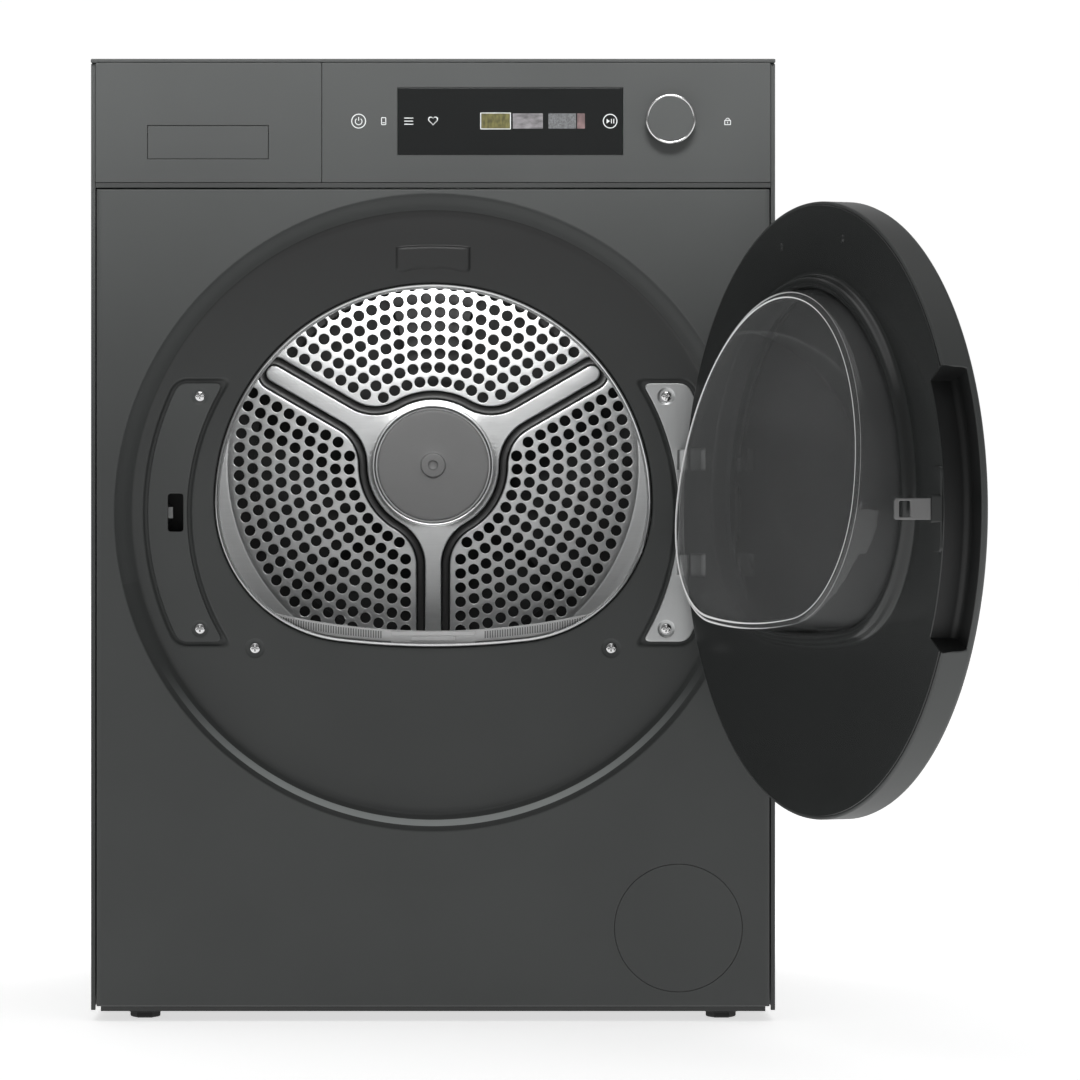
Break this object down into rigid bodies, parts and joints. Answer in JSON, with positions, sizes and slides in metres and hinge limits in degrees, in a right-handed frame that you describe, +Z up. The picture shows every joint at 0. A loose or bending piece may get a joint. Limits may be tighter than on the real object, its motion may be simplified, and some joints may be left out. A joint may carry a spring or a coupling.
{
  "type": "clothes dryer",
  "caption": "Front-loading heat pump clothes dryer with an open round door, turning perforated drum, lift-out lint filter, condensate drawer and rotary selector.",
  "frame": {"origin": "centre of the base's underside, 8.5 mm above the floor the feet stand on", "axes": "+Z up, -Y out of the front, +X to the right of someone facing the front"},
  "size_m": [0.7313, 1.0868, 0.8435],
  "materials": {
    "graphite_paint": "satin graphite powder coat",
    "dial_paint": "satin graphite with a fine bright ring",
    "frame_paint": "satin",
    "zinc_steel": "zinc plated, satin",
    "drum_steel": "brushed stainless",
    "screw_steel": "bright",
    "black_plastic": "moulded, fine grain",
    "liner_plastic": "glossy",
    "hub_plastic": "satin",
    "grey_plastic": "moulded",
    "filter_plastic": "light grey, fine mesh",
    "tank_plastic": "translucent white",
    "display_glass": "black, printed from behind",
    "door_glass": "tinted",
    "bowl_glass": "smoked",
    "black_rubber": "matte",
    "exchanger_fins": "mill",
    "compressor_paint": "satin black",
    "board": "printed circuit board"
  },
  "bodies": {
    "cabinet": {"base_tub": "grey_plastic", "side_panel_left": "graphite_paint", "side_panel_right": "graphite_paint", "rear_panel": "zinc_steel", "rear_duct_cover": "zinc_steel", "rear_bearing": "grey_plastic", "cord_gland": "black_plastic", "worktop": "graphite_paint", "front_panel": "graphite_paint", "front_bulkhead": "black_plastic", "mouth_ring": "drum_steel", "mouth_gasket": "black_rubber", "latch_cover": "black_plastic", "latch_housing": "black_plastic", "hinge_plate": "zinc_steel", "latch_screw_upper": "screw_steel", "latch_screw_lower": "screw_steel", "hinge_screw_upper": "screw_steel", "hinge_screw_lower": "screw_steel", "bulkhead_screw_left": "screw_steel", "bulkhead_screw_right": "screw_steel", "fascia_frame": "frame_paint", "fascia_panel": "graphite_paint", "display_glass": "display_glass", "control_board": "board", "motor_body": "zinc_steel", "fan_housing": "grey_plastic", "compressor": "compressor_paint", "evaporator": "exchanger_fins", "condenser": "exchanger_fins", "condensate_pump": "black_plastic", "drum_belt": "black_rubber"},
    "drum": {"drum_shell": "drum_steel", "drum_rear_wall": "drum_steel", "hub_cap": "hub_plastic", "drum_lifter_1": "grey_plastic", "drum_lifter_2": "grey_plastic", "drum_lifter_3": "grey_plastic"},
    "rotor": {"motor_rotor": "drum_steel", "fan_wheel": "grey_plastic"},
    "idler": {"idler_pulley": "black_plastic"},
    "roller_left": {"front_roller_left": "black_rubber"},
    "roller_right": {"front_roller_right": "black_rubber"},
    "door": {"door_cover": "graphite_paint", "door_window": "door_glass", "door_liner": "liner_plastic", "door_bowl": "bowl_glass", "door_strike": "zinc_steel", "hinge_pin": "drum_steel"},
    "catch": {"latch_catch": "zinc_steel"},
    "dial": {"dial_knob": "dial_paint"},
    "tank": {"tank_front": "graphite_paint", "water_tank": "tank_plastic"},
    "tank_flap": {"tank_flap": "graphite_paint"},
    "filter": {"lint_filter": "filter_plastic"},
    "hatch": {"service_cover": "graphite_paint"},
    "foot_fl": {"foot_front_left": "black_rubber"},
    "foot_fr": {"foot_front_right": "black_rubber"},
    "foot_rl": {"foot_rear_left": "black_rubber"},
    "foot_rr": {"foot_rear_right": "black_rubber"}
  },
  "joints": [
    {"name": "door_hinge", "type": "hinge", "parent": "cabinet", "child": "door", "pos_m": [0.24, -0.305, 0.4375], "axis": [0, 0, 1], "range_deg": [-111.5, 18.5]},
    {"name": "catch_pivot", "type": "hinge", "parent": "cabinet", "child": "catch", "pos_m": [-0.2377, -0.245, 0.4375], "axis": [0, 0, 1], "range_deg": [0, 14], "stiffness_Nm_per_rad": 0.05},
    {"name": "drum_spin", "type": "hinge", "parent": "cabinet", "child": "drum", "pos_m": [0, 0, 0.4875], "axis": [0, 1, 0], "continuous": true},
    {"name": "motor_spin", "type": "hinge", "parent": "cabinet", "child": "rotor", "pos_m": [-0.185, 0, 0.1], "axis": [0, 1, 0], "continuous": true},
    {"name": "idler_spin", "type": "hinge", "parent": "cabinet", "child": "idler", "pos_m": [-0.096, -0.075, 0.124], "axis": [0, 1, 0], "continuous": true},
    {"name": "roller_left_spin", "type": "hinge", "parent": "cabinet", "child": "roller_left", "pos_m": [-0.15265, -0.24, 0.2231], "axis": [0, 1, 0], "continuous": true},
    {"name": "roller_right_spin", "type": "hinge", "parent": "cabinet", "child": "roller_right", "pos_m": [0.15265, -0.24, 0.2231], "axis": [0, 1, 0], "continuous": true},
    {"name": "dial_spin", "type": "hinge", "parent": "cabinet", "child": "dial", "pos_m": [0.2076, -0.305, 0.7811], "axis": [0, -1, 0], "continuous": true},
    {"name": "tank_slide", "type": "slide", "parent": "cabinet", "child": "tank", "axis": [0, -1, 0], "range_m": [0, 0.42]},
    {"name": "tank_flap_pivot", "type": "hinge", "parent": "tank", "child": "tank_flap", "pos_m": [-0.1972, -0.3025, 0.776], "axis": [1, 0, 0], "range_deg": [0, 28], "stiffness_Nm_per_rad": 0.05},
    {"name": "filter_lift", "type": "slide", "parent": "cabinet", "child": "filter", "axis": [0, 0, 1], "range_m": [0, 0.11]},
    {"name": "hatch_hinge", "type": "hinge", "parent": "cabinet", "child": "hatch", "pos_m": [0.161, -0.305, 0.0735], "axis": [0, 0, -1], "range_deg": [0, 100]},
    {"name": "foot_front_left_screw", "type": "slide", "parent": "cabinet", "child": "foot_fl", "axis": [0, 0, -1], "range_m": [0, 0.012]},
    {"name": "foot_front_right_screw", "type": "slide", "parent": "cabinet", "child": "foot_fr", "axis": [0, 0, -1], "range_m": [0, 0.012]},
    {"name": "foot_rear_left_screw", "type": "slide", "parent": "cabinet", "child": "foot_rl", "axis": [0, 0, -1], "range_m": [0, 0.012]},
    {"name": "foot_rear_right_screw", "type": "slide", "parent": "cabinet", "child": "foot_rr", "axis": [0, 0, -1], "range_m": [0, 0.012]}
  ],
  "couplings": [
    {"joint": "motor_spin", "follows": "drum_spin", "ratio": 24.305},
    {"joint": "idler_spin", "follows": "drum_spin", "ratio": 13.156},
    {"joint": "roller_left_spin", "follows": "drum_spin", "ratio": -14.25},
    {"joint": "roller_right_spin", "follows": "drum_spin", "ratio": -14.25}
  ]
}
